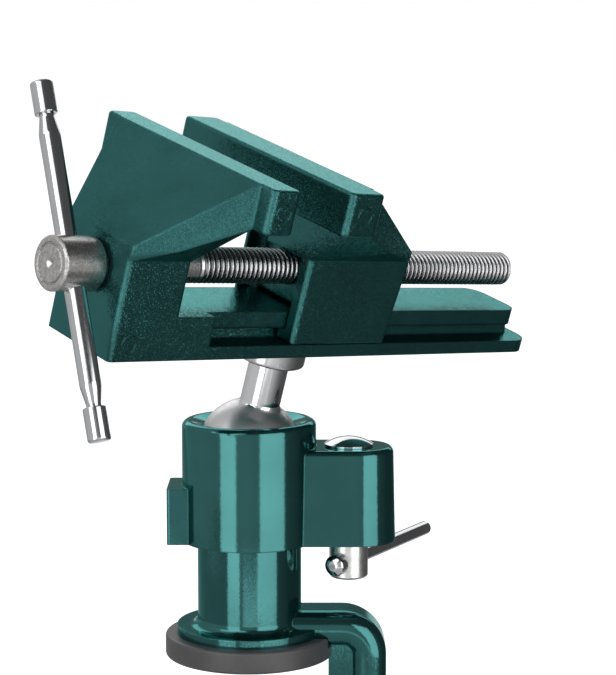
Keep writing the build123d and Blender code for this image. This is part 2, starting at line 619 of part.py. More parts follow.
def make_lock_nut():
    """Barrel nut with a blind thread and a cross hole for its lever."""
    low = BALL_Z + LOCK_NUT_BOTTOM
    top = LOCK_NUT_TOP_Z
    nut = upright_cylinder(LOCK_NUT_RADIUS, low, top, LOCK_X)
    nut = chamfer(nut.edges().filter_by(GeomType.CIRCLE), LOCK_NUT_EDGE)
    nut -= upright_cylinder(BOLT_RADIUS + RUN_GAP, BALL_Z + BOLT_END - SEAT_GAP, top + OVERRUN, LOCK_X)
    hole = Cylinder(LEVER_RADIUS + PRESS_GAP, 4 * LOCK_NUT_RADIUS)
    return as_one(nut - lever_place(hole))


def lever_place(shape):
    """Lay a piece made about Z along the lever's axis through the lock nut."""
    return Pos(LOCK_X, 0, BALL_Z + LEVER_Z) * Rot(0, 0, LEVER_AZIMUTH) * Rot(0, 90, 0) * shape


def make_lock_lever():
    """Lever pin with a head on one side of the nut."""
    head_in = -(LOCK_NUT_RADIUS + SEAT_GAP)
    head_out = head_in - LEVER_HEAD_LENGTH
    pin = turned([(0, head_out), (LEVER_HEAD_RADIUS - LEVER_EDGE, head_out),
                  (LEVER_HEAD_RADIUS, head_out + LEVER_EDGE), (LEVER_HEAD_RADIUS, head_in),
                  (LEVER_RADIUS, head_in), (LEVER_RADIUS, LEVER_REACH - LEVER_EDGE),
                  (LEVER_RADIUS - LEVER_EDGE, LEVER_REACH), (0, LEVER_REACH)])
    return as_one(lever_place(pin))


# Clamp frame and bench pad

def frame_band(outer_x, top_z, bottom_z, thickness, half, bend):
    """A C-shaped band open towards -X, with rounded outer and inner corners, drawn out in Y."""
    inner_x = outer_x - thickness
    inner_bend = max(bend - thickness, thickness / 4)
    outer = side_prism([(0, bottom_z), (outer_x, bottom_z), (outer_x, top_z), (0, top_z)], half)
    outer = fillet(edges_along(outer, Axis.Y, lambda c: c.X > outer_x - OVERRUN), bend)
    inner = side_prism([(-OVERRUN, bottom_z + thickness), (inner_x, bottom_z + thickness),
                        (inner_x, top_z - thickness), (-OVERRUN, top_z - thickness)],
                       half + OVERRUN)
    inner = fillet(edges_along(inner, Axis.Y, lambda c: c.X > inner_x - OVERRUN), inner_bend)
    return outer - inner


def make_clamp_frame():
    """Column, foot flange, C-shaped clamp frame and screw boss in one casting."""
    column = upright_cylinder(COLUMN_RADIUS, PAD_FLOOR, BALL_Z + COLUMN_TOP)
    flange = upright_cylinder(FLANGE_RADIUS, PAD_FLOOR, FLANGE_RISE)
    foot = column + flange
    root = [e for e in foot.edges().filter_by(GeomType.CIRCLE)
            if abs(e.center().Z - FLANGE_RISE) < PRESS_GAP and e.radius < FLANGE_RADIUS - OVERRUN]
    foot = fillet(root, COLUMN_FOOT_FILLET)
    bar = frame_band(ARM_OUTER_X, ARM_TOP, ARM_BOTTOM_Z, ARM_BAR, ARM_BAR_HALF, ARM_BEND)
    bar = fillet(bar.edges().filter_by(GeomType.LINE).filter_by(Axis.Y, reverse=True)
                 .filter_by(lambda e: e.center().X > OVERRUN), ARM_BAR_ROUND)
    core_x = ARM_OUTER_X - ARM_BAR / 2
    core_top = ARM_TOP - ARM_BAR / 2
    core_low = ARM_BOTTOM_Z + ARM_BAR / 2
    rib_low = ARM_BOTTOM_Z + ARM_BAR + ARM_RIB
    rib = side_prism([(ARM_INNER_X, core_top), (core_x - ARM_BAR / 2, core_top),
                      (core_x, core_top - ARM_BEND), (core_x, core_low + ARM_BEND),
                      (core_x - ARM_BAR / 2, core_low), (0, core_low), (0, rib_low),
                      (ARM_INNER_X, rib_low)], ARM_RIB_HALF)
    rib = fillet(edges_along(rib, Axis.Y, lambda c: abs(c.X - ARM_INNER_X) < OVERRUN
                             and abs(c.Z - rib_low) < OVERRUN), ARM_RIB)
    boss = upright_cylinder(BOSS_RADIUS, ARM_BOTTOM_Z, THROAT_BOTTOM)
    boss = chamfer(boss.edges().filter_by(GeomType.CIRCLE), BOSS_EDGE)
    column_top = BALL_Z + COLUMN_TOP
    ear_lug = half_tongue(EAR_LUG_END, EAR_LUG_HALF, BALL_Z + EAR_LUG_BOTTOM, column_top,
                          EAR_LUG_CORNER)
    tab_lug = block(-TAB_LUG_END, 0, TAB_LUG_HALF,
                    BALL_Z + COLLAR_BOTTOM + TAB_SILL + SEAT_GAP, column_top)
    frame = foot + bar + rib + boss + ear_lug + tab_lug
    frame -= upright_cylinder(COLUMN_BORE_RADIUS, column_top - COLUMN_BORE_DEPTH, BALL_Z)
    frame -= upright_cylinder(BOLT_RADIUS + BOLT_HOLE_GAP, ARM_TOP + OVERRUN, BALL_Z, LOCK_X)
    frame -= upright_cylinder(TAPPED_RADIUS, ARM_BOTTOM_Z - OVERRUN, THROAT_BOTTOM + OVERRUN)
    return as_one(frame)


def make_bench_pad():
    """Rubber cup stretched over the foot flange, notched where the arm leaves it."""
    pad = upright_cylinder(PAD_RADIUS, 0, PAD_HEIGHT)
    pad = fillet(pad.edges().filter_by(GeomType.CIRCLE), PAD_EDGE)
    pad -= upright_cylinder(FLANGE_RADIUS + PAD_GRIP_GAP, PAD_FLOOR, PAD_HEIGHT + OVERRUN)
    bar_notch = block(0, ARM_OUTER_X, ARM_BAR_HALF + PAD_GRIP_GAP,
                      ARM_TOP - ARM_BAR - PAD_GRIP_GAP, PAD_HEIGHT + OVERRUN)
    rib_notch = block(ARM_INNER_X - PAD_GRIP_GAP, ARM_OUTER_X, ARM_RIB_HALF + PAD_GRIP_GAP,
                      -OVERRUN, PAD_HEIGHT + OVERRUN)
    return as_one(pad - bar_notch - rib_notch)


# Clamp screw and pressure pad

def make_clamp_screw():
    """Clamp screw about Z: tip in the pressure pad, neck, thread and a spigot in the hub."""
    neck_top = CLAMP_TOP_Z - CLAMP_TIP_LENGTH
    thread_top = neck_top - CLAMP_NECK_LENGTH
    hub_low = CLAMP_HUB_TOP_Z - CLAMP_HUB_LENGTH
    thread = [(r, -z) for r, z in thread_profile(-thread_top, -CLAMP_HUB_TOP_Z, 0)]
    profile = [(0, CLAMP_TOP_Z), (CLAMP_TIP_RADIUS, CLAMP_TOP_Z), (CLAMP_TIP_RADIUS, neck_top),
               (CLAMP_NECK_RADIUS, neck_top), (CLAMP_NECK_RADIUS, thread_top)]
    profile += thread[:-1]
    profile += [(SCREW_BORE_RADIUS, CLAMP_HUB_TOP_Z), (SCREW_BORE_RADIUS, hub_low), (0, hub_low)]
    return as_one(turned(profile) - clamp_bar_hole())


def clamp_bar_place(shape):
    """Lay a piece made about Z through the clamp screw's hub."""
    middle = CLAMP_HUB_TOP_Z - CLAMP_HUB_LENGTH / 2
    return Pos(0, 0, middle) * Rot(0, 0, CLAMP_BAR_AZIMUTH) * Rot(0, 90, 0) * shape


def clamp_bar_hole():
    """The cross hole for the clamp's T-bar."""
    return clamp_bar_place(Cylinder(BAR_HOLE_RADIUS, 4 * CLAMP_HUB_RADIUS))


def make_clamp_screw_hub():
    """Turned hub on the lower end of the clamp screw."""
    low = CLAMP_HUB_TOP_Z - CLAMP_HUB_LENGTH
    hub = upright_cylinder(CLAMP_HUB_RADIUS, low, CLAMP_HUB_TOP_Z)
    hub = chamfer(hub.edges().filter_by(GeomType.CIRCLE), HUB_EDGE)
    hub -= upright_cylinder(SCREW_BORE_RADIUS + PRESS_GAP, low - OVERRUN,
                            CLAMP_HUB_TOP_Z + OVERRUN)
    return as_one(hub - clamp_bar_hole())


def make_pressure_pad():
    """Swivel pad with a cup that turns on the clamp screw's tip."""
    plate_low = PRESSURE_PLATE_Z - PRESSURE_PAD_HEIGHT
    plate = upright_cylinder(PRESSURE_PAD_RADIUS, plate_low, PRESSURE_PLATE_Z)
    plate = fillet(plate.edges().filter_by(GeomType.CIRCLE).sort_by(Axis.Z)[0], PRESSURE_PAD_EDGE)
    cup = upright_cylinder(PRESSURE_CUP_RADIUS, CUP_BOTTOM_Z, plate_low)
    pad = plate + cup
    pad -= upright_cylinder(CLAMP_TIP_RADIUS + SEAT_GAP, CUP_BOTTOM_Z - OVERRUN, plate_low)
    pad -= upright_cylinder(SNAP_RING_RADIUS + PRESS_GAP,
                            SNAP_RING_TOP_Z - SNAP_RING_HEIGHT - PRESS_GAP,
                            SNAP_RING_TOP_Z + PRESS_GAP)
    return as_one(pad)


def make_pad_snap_ring():
    """Ring sprung into the cup's mouth, round the screw's neck, that holds the pad on."""
    low = SNAP_RING_TOP_Z - SNAP_RING_HEIGHT
    ring = upright_cylinder(SNAP_RING_RADIUS, low, SNAP_RING_TOP_Z)
    return as_one(ring - upright_cylinder(CLAMP_NECK_RADIUS + SEAT_GAP, low - OVERRUN,
                                          SNAP_RING_TOP_Z + OVERRUN))


def make_pad_facing():
    """Rubber facing bonded to the pressure pad."""
    facing = upright_cylinder(PRESSURE_PAD_RADIUS, PRESSURE_PLATE_Z, PRESSURE_TOP_Z)
    return as_one(fillet(facing.edges().filter_by(GeomType.CIRCLE).sort_by(Axis.Z)[-1], FACING_EDGE))


# Nodes

NODES = {
    "clamp_frame": make_clamp_frame(),
    "bench_pad": make_bench_pad(),
    "ball_collar": make_ball_collar(),
    "ball_seat": make_ball_seat(),
    "lock_bolt": make_lock_bolt(),
    "lock_washer": make_lock_washer(),
    "lock_nut": make_lock_nut(),
    "lock_lever": make_lock_lever(),
    "ball_stud": head_place(make_ball_stud()),
    "stem_lock_ring": head_place(make_stem_lock_ring()),
    "fixed_jaw": head_place(make_fixed_jaw()),
    "sliding_jaw": head_place(make_sliding_jaw()),
    "lead_screw": head_place(make_lead_screw()),
    "screw_hub": head_place(make_screw_hub()),
    "thrust_washer": head_place(make_thrust_washer()),
    "handle_bar": handle_place(as_one(t_bar(HANDLE_LENGTH))),
    "handle_caps": Compound(children=[handle_place(c) for c in t_bar_caps(HANDLE_LENGTH)]),
    "clamp_screw": make_clamp_screw(),
    "clamp_screw_hub": make_clamp_screw_hub(),
    "clamp_bar": clamp_bar_place(as_one(t_bar(CLAMP_BAR_LENGTH))),
    "clamp_bar_caps": Compound(children=[clamp_bar_place(c) for c in t_bar_caps(CLAMP_BAR_LENGTH)]),
    "pressure_pad": make_pressure_pad(),
    "pad_facing": make_pad_facing(),
    "pad_snap_ring": make_pad_snap_ring(),
}

os.makedirs("parts", exist_ok=True)
for name, shape in NODES.items():
    export_step(shape, "parts/" + name + ".step")
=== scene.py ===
# Swivel bench vise: a clamp foot with a column, a ball joint under a bolted collar,
# and a small screw vise on the ball's stem. Sizes are in millimetres and are turned
# to metres as each mesh is made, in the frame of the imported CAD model.

import json
import math

import bpy
import numpy as np
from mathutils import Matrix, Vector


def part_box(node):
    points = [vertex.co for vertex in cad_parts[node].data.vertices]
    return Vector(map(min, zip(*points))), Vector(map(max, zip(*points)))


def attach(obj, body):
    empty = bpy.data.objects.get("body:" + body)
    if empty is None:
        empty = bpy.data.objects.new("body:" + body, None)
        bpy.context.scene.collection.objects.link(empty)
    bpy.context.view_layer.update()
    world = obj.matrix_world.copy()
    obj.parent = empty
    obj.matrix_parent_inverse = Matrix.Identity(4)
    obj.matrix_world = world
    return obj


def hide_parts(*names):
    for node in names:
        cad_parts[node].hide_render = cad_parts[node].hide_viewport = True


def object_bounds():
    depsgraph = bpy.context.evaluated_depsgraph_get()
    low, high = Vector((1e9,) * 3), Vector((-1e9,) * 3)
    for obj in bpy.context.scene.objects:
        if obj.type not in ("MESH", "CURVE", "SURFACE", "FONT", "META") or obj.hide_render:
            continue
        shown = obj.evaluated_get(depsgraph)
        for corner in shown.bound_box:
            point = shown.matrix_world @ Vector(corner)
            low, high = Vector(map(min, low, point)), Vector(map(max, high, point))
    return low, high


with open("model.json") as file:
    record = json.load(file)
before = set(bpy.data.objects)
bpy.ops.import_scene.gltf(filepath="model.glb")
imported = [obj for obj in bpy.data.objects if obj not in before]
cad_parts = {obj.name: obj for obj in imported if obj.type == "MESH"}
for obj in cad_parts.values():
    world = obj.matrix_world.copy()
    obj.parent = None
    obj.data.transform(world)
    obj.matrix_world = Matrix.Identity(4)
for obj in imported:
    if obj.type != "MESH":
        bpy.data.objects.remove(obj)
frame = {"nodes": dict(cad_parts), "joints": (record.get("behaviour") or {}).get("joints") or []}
box_at_load = [list(corner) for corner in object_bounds()]
nodes = frame["nodes"]
joints = {joint["name"]: joint for joint in frame["joints"]}
MM = 0.001


# Clamp frame: column, foot flange, C-shaped arm and screw boss in one iron casting,
# sprayed with a smooth green enamel that holds fine metal flakes. Its screw holds it
# to the bench, and it carries all the other pieces.

def linear(code):
    """A colour's linear red, green, blue and alpha from its sRGB hex code."""
    values = [int(code[i:i + 2], 16) / 255 for i in (1, 3, 5)]
    return [v / 12.92 if v <= 0.04045 else ((v + 0.055) / 1.055) ** 2.4 for v in values] + [1.0]


def add(tree, kind, inputs=None, **settings):
    """Adds a node with its settings. Each input is a value, or the socket that feeds it."""
    made = tree.nodes.new("ShaderNode" + kind)
    for name, value in settings.items():
        setattr(made, name, value)
    for socket, value in (inputs or {}).items():
        if isinstance(value, bpy.types.NodeSocket):
            tree.links.new(value, made.inputs[socket])
        else:
            made.inputs[socket].default_value = value
    return made


def new_material(name):
    """An empty material, its node tree, its shader and the object's own coordinates."""
    material = bpy.data.materials.new(name)
    material.use_nodes = True
    tree = material.node_tree
    shader = tree.nodes["Principled BSDF"]
    place = add(tree, "TexCoord").outputs["Object"]
    return material, tree, shader, place


ENAMEL_GREEN = "#356867"
ENAMEL_DEEP = "#305F5E"
ENAMEL_GRAZING = "#BDF4F1"   # what is left of white at a glancing angle
ENAMEL_CLOUD = 14.0          # mm, size of the faint clouds that spraying leaves
CLOUD_BAND = (0.3, 0.7)      # levels of their noise that give the deep and the full green
FLAKE = 0.22                 # mm across, coarser than real flakes so that they show
ENAMEL_METALLIC = 0.93       # a little short of bare metal, as the tint is a lacquer
ENAMEL_GLOSS_DRIFT = 0.2     # share by which the roughness drifts either way
COAT_ROUGHNESS = 0.06


def enamel(name, roughness, flake_tilt, grain, grain_depth, edge, coat):
    """Metallic enamel sprayed on a casting.

    The eye sees a deep green with a metallic sheen, flakes that sparkle where the
    light is uneven because each lies at its own slight tilt, and edges that the
    casting and the paint have rounded.
    """
    material, tree, shader, place = new_material(name)
    clouds = add(tree, "TexNoise", {"Vector": place, "Scale": 1 / (ENAMEL_CLOUD * MM),
                                    "Detail": 3.0})
    tone = add(tree, "MapRange", {"Value": clouds.outputs["Fac"],
                                  "From Min": CLOUD_BAND[0], "From Max": CLOUD_BAND[1]})
    body = add(tree, "Mix", {0: tone.outputs["Result"], 6: linear(ENAMEL_DEEP),
                             7: linear(ENAMEL_GREEN)}, data_type="RGBA")
    tree.links.new(body.outputs[2], shader.inputs["Base Color"])
    flakes = add(tree, "TexVoronoi", {"Vector": place, "Scale": 1 / (FLAKE * MM)})
    centred = add(tree, "VectorMath", {0: flakes.outputs["Color"], 1: (0.5, 0.5, 0.5)},
                  operation="SUBTRACT")
    tilt = add(tree, "VectorMath", {0: centred.outputs[0], "Scale": flake_tilt},
               operation="SCALE")
    rounded = add(tree, "Bevel", {"Radius": edge * MM}, samples=4)
    tilted = add(tree, "VectorMath", {0: rounded.outputs["Normal"], 1: tilt.outputs[0]})
    facing = add(tree, "VectorMath", {0: tilted.outputs[0]}, operation="NORMALIZE")
    skin = add(tree, "TexNoise", {"Vector": place, "Scale": 1 / (grain * MM), "Detail": 2.0})
    bump = add(tree, "Bump", {"Height": skin.outputs["Fac"], "Distance": grain_depth * MM,
                              "Normal": facing.outputs[0]})
    tree.links.new(bump.outputs["Normal"], shader.inputs["Normal"])
    gloss = add(tree, "MapRange", {"Value": skin.outputs["Fac"],
                                   "To Min": (1 - ENAMEL_GLOSS_DRIFT) * roughness,
                                   "To Max": (1 + ENAMEL_GLOSS_DRIFT) * roughness})
    tree.links.new(gloss.outputs["Result"], shader.inputs["Roughness"])
    shader.inputs["Metallic"].default_value = ENAMEL_METALLIC
    shader.inputs["Specular Tint"].default_value = linear(ENAMEL_GRAZING)
    shader.inputs["Coat Weight"].default_value = coat
    shader.inputs["Coat Roughness"].default_value = COAT_ROUGHNESS
    return material


def finish_node(node, material):
    """Gives a CAD node its finished material."""
    nodes[node].data.materials.clear()
    nodes[node].data.materials.append(material)


smooth_enamel = enamel("enamel_on_smooth_casting", roughness=0.1, flake_tilt=0.025,
                       grain=1.1, grain_depth=0.004, edge=0.5, coat=0.1)
finish_node("clamp_frame", smooth_enamel)


# Bench pad: a black rubber cup stretched over the foot flange, moulded with a fine
# matt skin. It keeps the casting off the bench top and grips it.

RUBBER_BLACK = "#2E2E2F"
RUBBER_BLOOM = "#4C4C4E"
RUBBER_BLOOM_PATCH = 8.0     # mm
RUBBER_GRAIN = 0.5           # mm
RUBBER_GRAIN_DEPTH = 0.02    # mm
RUBBER_ROUGHNESS = (0.36, 0.5)


def rubber(name):
    """Moulded rubber. The eye sees a soft grey sheen on black and a faint matt grain."""
    material, tree, shader, place = new_material(name)
    bloom = add(tree, "TexNoise", {"Vector": place, "Scale": 1 / (RUBBER_BLOOM_PATCH * MM),
                                   "Detail": 4.0})
    body = add(tree, "Mix", {0: bloom.outputs["Fac"], 6: linear(RUBBER_BLACK),
                             7: linear(RUBBER_BLOOM)}, data_type="RGBA")
    tree.links.new(body.outputs[2], shader.inputs["Base Color"])
    sheen = add(tree, "MapRange", {"Value": bloom.outputs["Fac"],
                                   "To Min": RUBBER_ROUGHNESS[0],
                                   "To Max": RUBBER_ROUGHNESS[1]})
    tree.links.new(sheen.outputs["Result"], shader.inputs["Roughness"])
    grain = add(tree, "TexNoise", {"Vector": place, "Scale": 1 / (RUBBER_GRAIN * MM),
                                   "Detail": 3.0})
    bump = add(tree, "Bump", {"Height": grain.outputs["Fac"],
                              "Distance": RUBBER_GRAIN_DEPTH * MM})
    tree.links.new(bump.outputs["Normal"], shader.inputs["Normal"])
    return material


black_rubber = rubber("moulded_black_rubber")
finish_node("bench_pad", black_rubber)


# Ball collar: a cap cast in one piece with the ear of the lock bolt, enamelled like
# the frame. Its small tab hooks under a lug of the column, and the bolt pulls it down
# on the ball.

finish_node("ball_collar", smooth_enamel)


# Ball seat: a blackened steel ring under the ball, inside the column's head. It
# holds the ball from below when the collar is drawn down on it.

METAL_PATCH = 5.0            # size of the darker patches, in grains
METAL_PATCH_BAND = (0.35, 0.65)   # levels of their noise that give the dark and the base
METAL_GLOSS_DRIFT = 0.3      # share by which the roughness drifts either way


def metal(name, base, dark, roughness, grain, grain_depth, edge):
    """A bare or plated metal.

    The eye sees a base tone that drifts to a darker one in small patches, a grain
    that breaks up the reflections, and edges rounded by tumbling and plating.
    """
    material, tree, shader, place = new_material(name)
    patches = add(tree, "TexNoise", {"Vector": place, "Scale": 1 / (METAL_PATCH * grain * MM),
                                     "Detail": 4.0})
    tone = add(tree, "MapRange", {"Value": patches.outputs["Fac"],
                                  "From Min": METAL_PATCH_BAND[0],
                                  "From Max": METAL_PATCH_BAND[1]})
    body = add(tree, "Mix", {0: tone.outputs["Result"], 6: linear(dark), 7: linear(base)},
               data_type="RGBA")
    tree.links.new(body.outputs[2], shader.inputs["Base Color"])
    skin = add(tree, "TexNoise", {"Vector": place, "Scale": 1 / (grain * MM), "Detail": 3.0})
    gloss = add(tree, "MapRange", {"Value": skin.outputs["Fac"],
                                   "To Min": (1 - METAL_GLOSS_DRIFT) * roughness,
                                   "To Max": (1 + METAL_GLOSS_DRIFT) * roughness})
    tree.links.new(gloss.outputs["Result"], shader.inputs["Roughness"])
    rounded = add(tree, "Bevel", {"Radius": edge * MM}, samples=4)
    bump = add(tree, "Bump", {"Height": skin.outputs["Fac"], "Distance": grain_depth * MM,
                              "Normal": rounded.outputs["Normal"]})
    tree.links.new(bump.outputs["Normal"], shader.inputs["Normal"])
    shader.inputs["Metallic"].default_value = 1.0
    return material


blackened_steel = metal("blackened_steel", base="#4A4A4C", dark="#343436", roughness=0.4,
                        grain=0.4, grain_depth=0.01, edge=0.2)
finish_node("ball_seat", blackened_steel)


# Lock bolt and its washer: a chromed bolt with a low mushroom head and a square neck
# that the ear holds, so it doesn't turn, and a zinc-plated washer under the lug.

chrome = metal("polished_chrome_plate", base="#C6C8CA", dark="#BEC0C2", roughness=0.09,
               grain=1.5, grain_depth=0.002, edge=0.2)
finish_node("lock_bolt", chrome)
zinc = metal("zinc_plated_steel", base="#DCDDDA", dark="#C2C4C2", roughness=0.3,
             grain=0.35, grain_depth=0.008, edge=0.25)
finish_node("lock_washer", zinc)


# Lock nut: a barrel nut turned from bar and zinc plated, with a cross hole for its
# lever. It draws the ear and the column's lug together.

finish_node("lock_nut", zinc)


# Lock lever: a chromed pin through the nut. One end is upset to a domed head that
# stops it in the hole, the other is chamfered.

WIDE_SIDES = 72              # sides of the mesh of a wide turned piece
SLIM_SIDES = 48              # sides of a slim one
ROUND_STEPS = 6              # points of a rounded corner


def place_along(origin, along, across):
    """A piece's own place: its origin in mm and its unit axes as columns. The z axis runs
    along the piece, x is the direction across less its part along z, and y is z cross x."""
    z = np.array(along, float) / np.linalg.norm(along)
    x = np.array(across, float) - np.dot(across, z) * z
    x = x / np.linalg.norm(x)
    return np.array(origin, float), np.column_stack([x, np.cross(z, x), z])


def reach(node, place):
    """Lowest and highest corner of a CAD node, in mm, in a piece's own place: each of its
    points less the origin, measured along each axis."""
    origin, axes = place
    mesh = nodes[node].data
    points = np.empty(3 * len(mesh.vertices))
    mesh.vertices.foreach_get("co", points)
    local = (points.reshape(-1, 3) / MM - origin) @ axes
    return local.min(axis=0), local.max(axis=0)


def heights(node, place):
    """Lowest and highest height of a CAD node along a piece's own axis, in mm."""
    low, high = reach(node, place)
    return low[2], high[2]


def box_middle(node):
    """Middle of a CAD node's box, in mm."""
    low, high = (np.array(corner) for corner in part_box(node))
    return (low + high) / 2 / MM


def softened(corners):
    """A profile with its corners rounded.

    Each corner is (radius, height, rounding). The round is the curve that starts one
    rounding before the corner, ends one after it and is drawn towards it between:
    (1 - t)^2 start + 2 t (1 - t) corner + t^2 end. The first and last corners stay.
    """
    table = np.array(corners, float)
    before, point, after = table[:-2, :2], table[1:-1, :2], table[2:, :2]
    size = table[1:-1, 2:3]
    back = before - point
    ahead = after - point
    start = point + size * back / np.linalg.norm(back, axis=1, keepdims=True)
    end = point + size * ahead / np.linalg.norm(ahead, axis=1, keepdims=True)
    t = np.linspace(0, 1, ROUND_STEPS)[None, :, None]
    rounds = ((1 - t) ** 2 * start[:, None] + 2 * t * (1 - t) * point[:, None]
              + t ** 2 * end[:, None])
    return np.concatenate([table[:1, :2], rounds.reshape(-1, 2), table[-1:, :2]])


def turn(profile, sides=WIDE_SIDES):
    """Points of a turned surface: each (radius r, height z) of the profile is carried
    round the axis to (r cos a, r sin a, z), for angles a spread over a full turn."""
    angle = np.arange(sides) * 2 * np.pi / sides
    r, z = profile[:, :1], profile[:, 1:]
    return np.stack([r * np.cos(angle), r * np.sin(angle), z + 0 * angle], axis=-1)


def skin_between(surface, first, shut):
    """Points of a turned surface and the faces between its rows, which number the points
    from the first. Where it isn't shut on itself, its first and last rows are single
    points on the axis, and triangles close it there."""
    rows, sides = surface.shape[:2]
    if shut:
        points = surface.reshape(-1, 3)
        grid = np.arange(rows * sides).reshape(rows, sides)
        grid = np.concatenate([grid, grid[:1]])
    else:
        points = np.concatenate([surface[:1, 0], surface[1:-1].reshape(-1, 3),
                                 surface[-1:, 0]])
        between = np.arange((rows - 2) * sides).reshape(-1, sides) + 1
        grid = np.concatenate([0 * between[:1], between,
                               0 * between[:1] + between[-1, -1] + 1])
    ring = first + np.concatenate([grid, grid[:, :1]], axis=1)
    quads = np.stack([ring[:-1, :-1], ring[:-1, 1:], ring[1:, 1:], ring[1:, :-1]], axis=-1)
    if shut:
        return points, quads.reshape(-1, 4).tolist()
    return points, (quads[0, :, 1:].tolist() + quads[1:-1].reshape(-1, 4).tolist()
                    + quads[-1, :, :3].tolist())


def turned_piece(name, surfaces, place, material, shut=False, flats=True):
    """An object of one or more turned surfaces.

    Each point (x, y, z) goes to the place's origin plus x, y and z times its axes. The
    attribute turned_place keeps each point's radius and height, so that a material can
    follow the lathe's marks. With flats, flat faces stay flat beside rounded edges.
    """
    origin, axes = place
    points, faces = np.empty((0, 3)), []
    for surface in surfaces:
        skin_points, skin_faces = skin_between(surface, len(points), shut)
        points = np.concatenate([points, skin_points])
        faces += skin_faces
    mesh = bpy.data.meshes.new(name)
    mesh.from_pydata(((origin + points @ axes.T) * MM).tolist(), [], faces)
    turned_place = np.zeros_like(points)
    turned_place[:, 0] = np.hypot(points[:, 0], points[:, 1])
    turned_place[:, 2] = points[:, 2]
    kept = mesh.attributes.new("turned_place", "FLOAT_VECTOR", "POINT")
    kept.data.foreach_set("vector", (turned_place * MM).ravel())
    mesh.shade_smooth()
    mesh.materials.append(material)
    piece = bpy.data.objects.new(name, mesh)
    bpy.context.scene.collection.objects.link(piece)
    if flats:
        piece.modifiers.new("flat_faces_stay_flat", "WEIGHTED_NORMAL")
    return piece


LEVER_RADIUS = 2.0
LEVER_END_RADIUS = 1.2       # at the small end of its chamfer
LEVER_CHAMFER = 0.9
LEVER_CHAMFER_ROUNDS = (0.3, 0.15)
LEVER_HEAD_LENGTH = 3.8
LEVER_HEAD_RADIUS = 2.9
LEVER_HEAD_ROUND = 0.25      # of the edge next to the shank
LEVER_SHANK_ROUND = 0.1      # of the corner between head and shank
DOME_RADIUS = 1.45           # of the flat on the head's domed end
DOME_RISE = 0.9
DOME_ROUNDS = (0.6, 0.5)
lock_axis = np.array(joints["lock_turn"]["pos_m"]) / MM
lever_middle = box_middle("lock_lever")
lever_along = lever_middle - lock_axis
lever_along[2] = 0
lever_place = place_along([lock_axis[0], lock_axis[1], lever_middle[2]], lever_along, (0, 0, 1))
lever_start, lever_end = heights("lock_lever", lever_place)
head_inner = lever_start + LEVER_HEAD_LENGTH
lever_profile = softened([
    (0, lever_start, 0), (DOME_RADIUS, lever_start, DOME_ROUNDS[0]),
    (LEVER_HEAD_RADIUS, lever_start + DOME_RISE, DOME_ROUNDS[1]),
    (LEVER_HEAD_RADIUS, head_inner, LEVER_HEAD_ROUND),
    (LEVER_RADIUS, head_inner, LEVER_SHANK_ROUND),
    (LEVER_RADIUS, lever_end - LEVER_CHAMFER, LEVER_CHAMFER_ROUNDS[0]),
    (LEVER_END_RADIUS, lever_end, LEVER_CHAMFER_ROUNDS[1]), (0, lever_end, 0)])
lever = turned_piece("lock_lever_pin", [turn(lever_profile, SLIM_SIDES)], lever_place,
                     chrome)
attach(lever, "lock_nut")
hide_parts("lock_lever")


# Ball stud: ball, stem and screwed end turned from one steel bar. The stem is
# polished, and the ball keeps fine lathe rings and the rub marks of its seat.

BALL_RADIUS = 14.0
STEM_RADIUS = 5.5
STEM_FOOT_RADIUS = 6.1       # small step where the stem meets the ball
STEM_FOOT_RISE = 1.0
STEM_FOOT_ROUND = 0.4
STEM_END_RADIUS = 4.0
STEM_END_ROUND = 0.4
SHOULDER_GAP = 0.1           # between the stem's shoulder and the head's underside
SHOULDER_ROUND = 0.05
BALL_STEPS = 60              # points of the ball's outline
POLISH_START = 0.5           # above the stem's foot
POLISH_BLEND = 0.3           # mm on either side over which the polish sets in
RUB_PATCH = 1.4              # mm
RUB_ROUGHNESS = 0.18         # how much rougher a rub mark is at most
RUB_LEFT = 0.15              # share of the rub marks that polishing leaves
RING_DEPTHS = (0.012, 0.002)   # mm, of the lathe's rings before and after polishing


